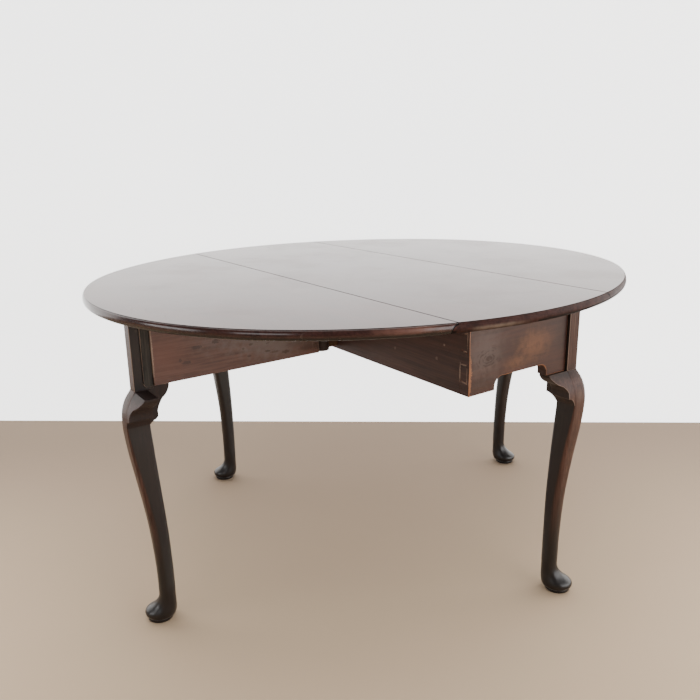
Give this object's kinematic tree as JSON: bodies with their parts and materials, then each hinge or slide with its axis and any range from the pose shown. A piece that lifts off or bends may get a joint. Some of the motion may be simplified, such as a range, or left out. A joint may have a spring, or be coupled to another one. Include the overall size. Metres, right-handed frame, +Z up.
{
  "type": "drop-leaf table",
  "caption": "Oval swing-leg drop-leaf table: fixed centre board, leaves on rule joints, gates on wooden knuckle joints, cabriole legs with ear brackets and club feet.",
  "frame": {"origin": "on the floor below the middle of the top", "axes": "+X across the leaf seams towards the right leaf, +Y along the seams to the back, +Z up; gates open and leaves level"},
  "size_m": [1.36, 1.2078, 0.72],
  "materials": {
    "mahogany_top": "waxed, glossy, fine scratches",
    "mahogany_apron": "old polish, swirling figure",
    "mahogany_rail": "dark old polish",
    "mahogany_leg": "dark, glossy, worn along the arrises",
    "pine": "bare, aged",
    "iron": "dark wrought iron"
  },
  "bodies": {
    "frame": {"back_apron": "mahogany_apron", "back_fixed_leg": "mahogany_leg", "back_leg_end_ear": "mahogany_leg", "back_leg_pegs": "mahogany_leg", "back_leg_rail_ear": "mahogany_leg", "centre_top": "mahogany_top", "corner_blocks": "pine", "front_apron": "mahogany_apron", "front_fixed_leg": "mahogany_leg", "front_leg_end_ear": "mahogany_leg", "front_leg_pegs": "mahogany_leg", "front_leg_rail_ear": "mahogany_leg", "left_fixed_rail": "mahogany_rail", "left_hinge_frame_plates": "iron", "left_inner_rail": "mahogany_rail", "left_knuckle_pin": "iron", "left_packing_blocks": "pine", "right_fixed_rail": "mahogany_rail", "right_hinge_frame_plates": "iron", "right_inner_rail": "mahogany_rail", "right_knuckle_pin": "iron", "right_packing_blocks": "pine", "top_glue_blocks": "pine", "top_screws": "iron"},
    "left_leaf": {"left_hinge_leaf_plates": "iron", "left_leaf": "mahogany_top"},
    "right_leaf": {"right_hinge_leaf_plates": "iron", "right_leaf": "mahogany_top"},
    "left_gate": {"left_fly_rail": "mahogany_rail", "left_gate_end_ear": "mahogany_leg", "left_gate_pegs": "mahogany_leg", "left_gate_rail_ear": "mahogany_leg", "left_swing_leg": "mahogany_leg"},
    "right_gate": {"right_fly_rail": "mahogany_rail", "right_gate_end_ear": "mahogany_leg", "right_gate_pegs": "mahogany_leg", "right_gate_rail_ear": "mahogany_leg", "right_swing_leg": "mahogany_leg"}
  },
  "joints": [
    {"name": "left_gate_hinge", "type": "hinge", "parent": "frame", "child": "left_gate", "pos_m": [-0.175, -0.069, 0.6265], "axis": [0, 0, 1], "range_deg": [0, 90]},
    {"name": "right_gate_hinge", "type": "hinge", "parent": "frame", "child": "right_gate", "pos_m": [0.175, 0.069, 0.6265], "axis": [0, 0, 1], "range_deg": [0, 90]},
    {"name": "left_leaf_hinge", "type": "hinge", "parent": "frame", "child": "left_leaf", "pos_m": [-0.2105, 0, 0.703], "axis": [0, 1, 0], "range_deg": [0, 1.5]},
    {"name": "right_leaf_hinge", "type": "hinge", "parent": "frame", "child": "right_leaf", "pos_m": [0.2105, 0, 0.703], "axis": [0, -1, 0], "range_deg": [0, 1.5]}
  ]
}
